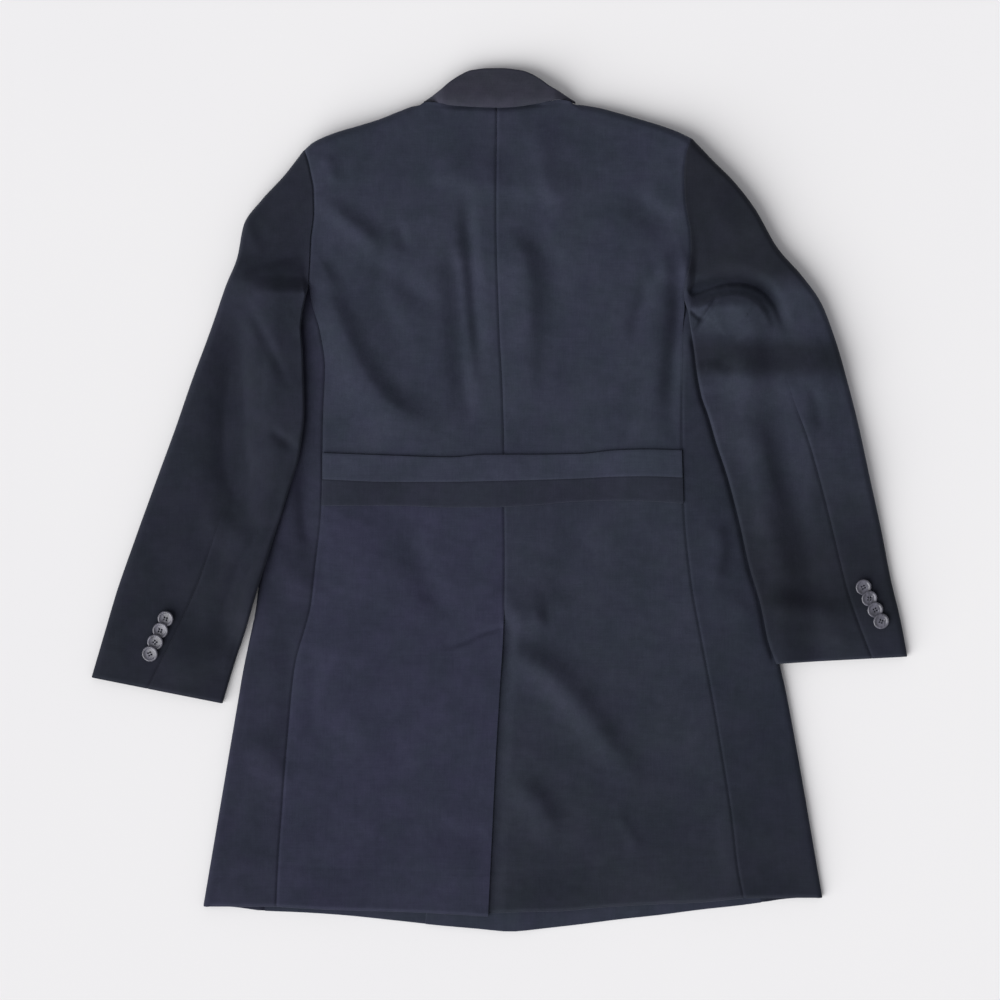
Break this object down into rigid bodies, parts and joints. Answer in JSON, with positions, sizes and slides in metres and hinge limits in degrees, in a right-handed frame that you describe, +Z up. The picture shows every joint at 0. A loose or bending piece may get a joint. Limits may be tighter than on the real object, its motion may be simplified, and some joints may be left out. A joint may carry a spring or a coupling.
{
  "type": "overcoat",
  "caption": "Dark navy wool overcoat laid face down with its sleeves beside it: two-band half belt, centre back vent, side bodies, small collar and overlapping cuff buttons.",
  "frame": {"origin": "middle of the coat's outline in plan, on the flat surface that it lies on", "axes": "+X to the right as the back is looked at from above, +Y from the hem towards the collar, +Z up from the surface that the coat lies on"},
  "size_m": [0.94, 0.994, 0.0316],
  "materials": {
    "coat_wool": "matt, lightly brushed",
    "belt_wool": "matt, lightly brushed",
    "collar_wool": "matt, softly brushed",
    "button_horn": "satin, with a paler rim"
  },
  "bodies": {
    "root": {"back_left": "coat_wool", "skirt_left": "coat_wool", "side_left": "coat_wool", "front_left": "coat_wool", "sleeve_top_left": "coat_wool", "sleeve_under_left": "coat_wool", "collar_front_left": "coat_wool", "button_left_1": "button_horn", "button_left_2": "button_horn", "button_left_3": "button_horn", "button_left_4": "button_horn", "back_right": "coat_wool", "skirt_right": "coat_wool", "side_right": "coat_wool", "front_right": "coat_wool", "sleeve_top_right": "coat_wool", "sleeve_under_right": "coat_wool", "collar_front_right": "coat_wool", "button_right_1": "button_horn", "button_right_2": "button_horn", "button_right_3": "button_horn", "button_right_4": "button_horn", "belt_upper": "belt_wool", "belt_lower": "belt_wool", "collar_leaf": "collar_wool", "collar_stand": "collar_wool"}
  },
  "joints": []
}
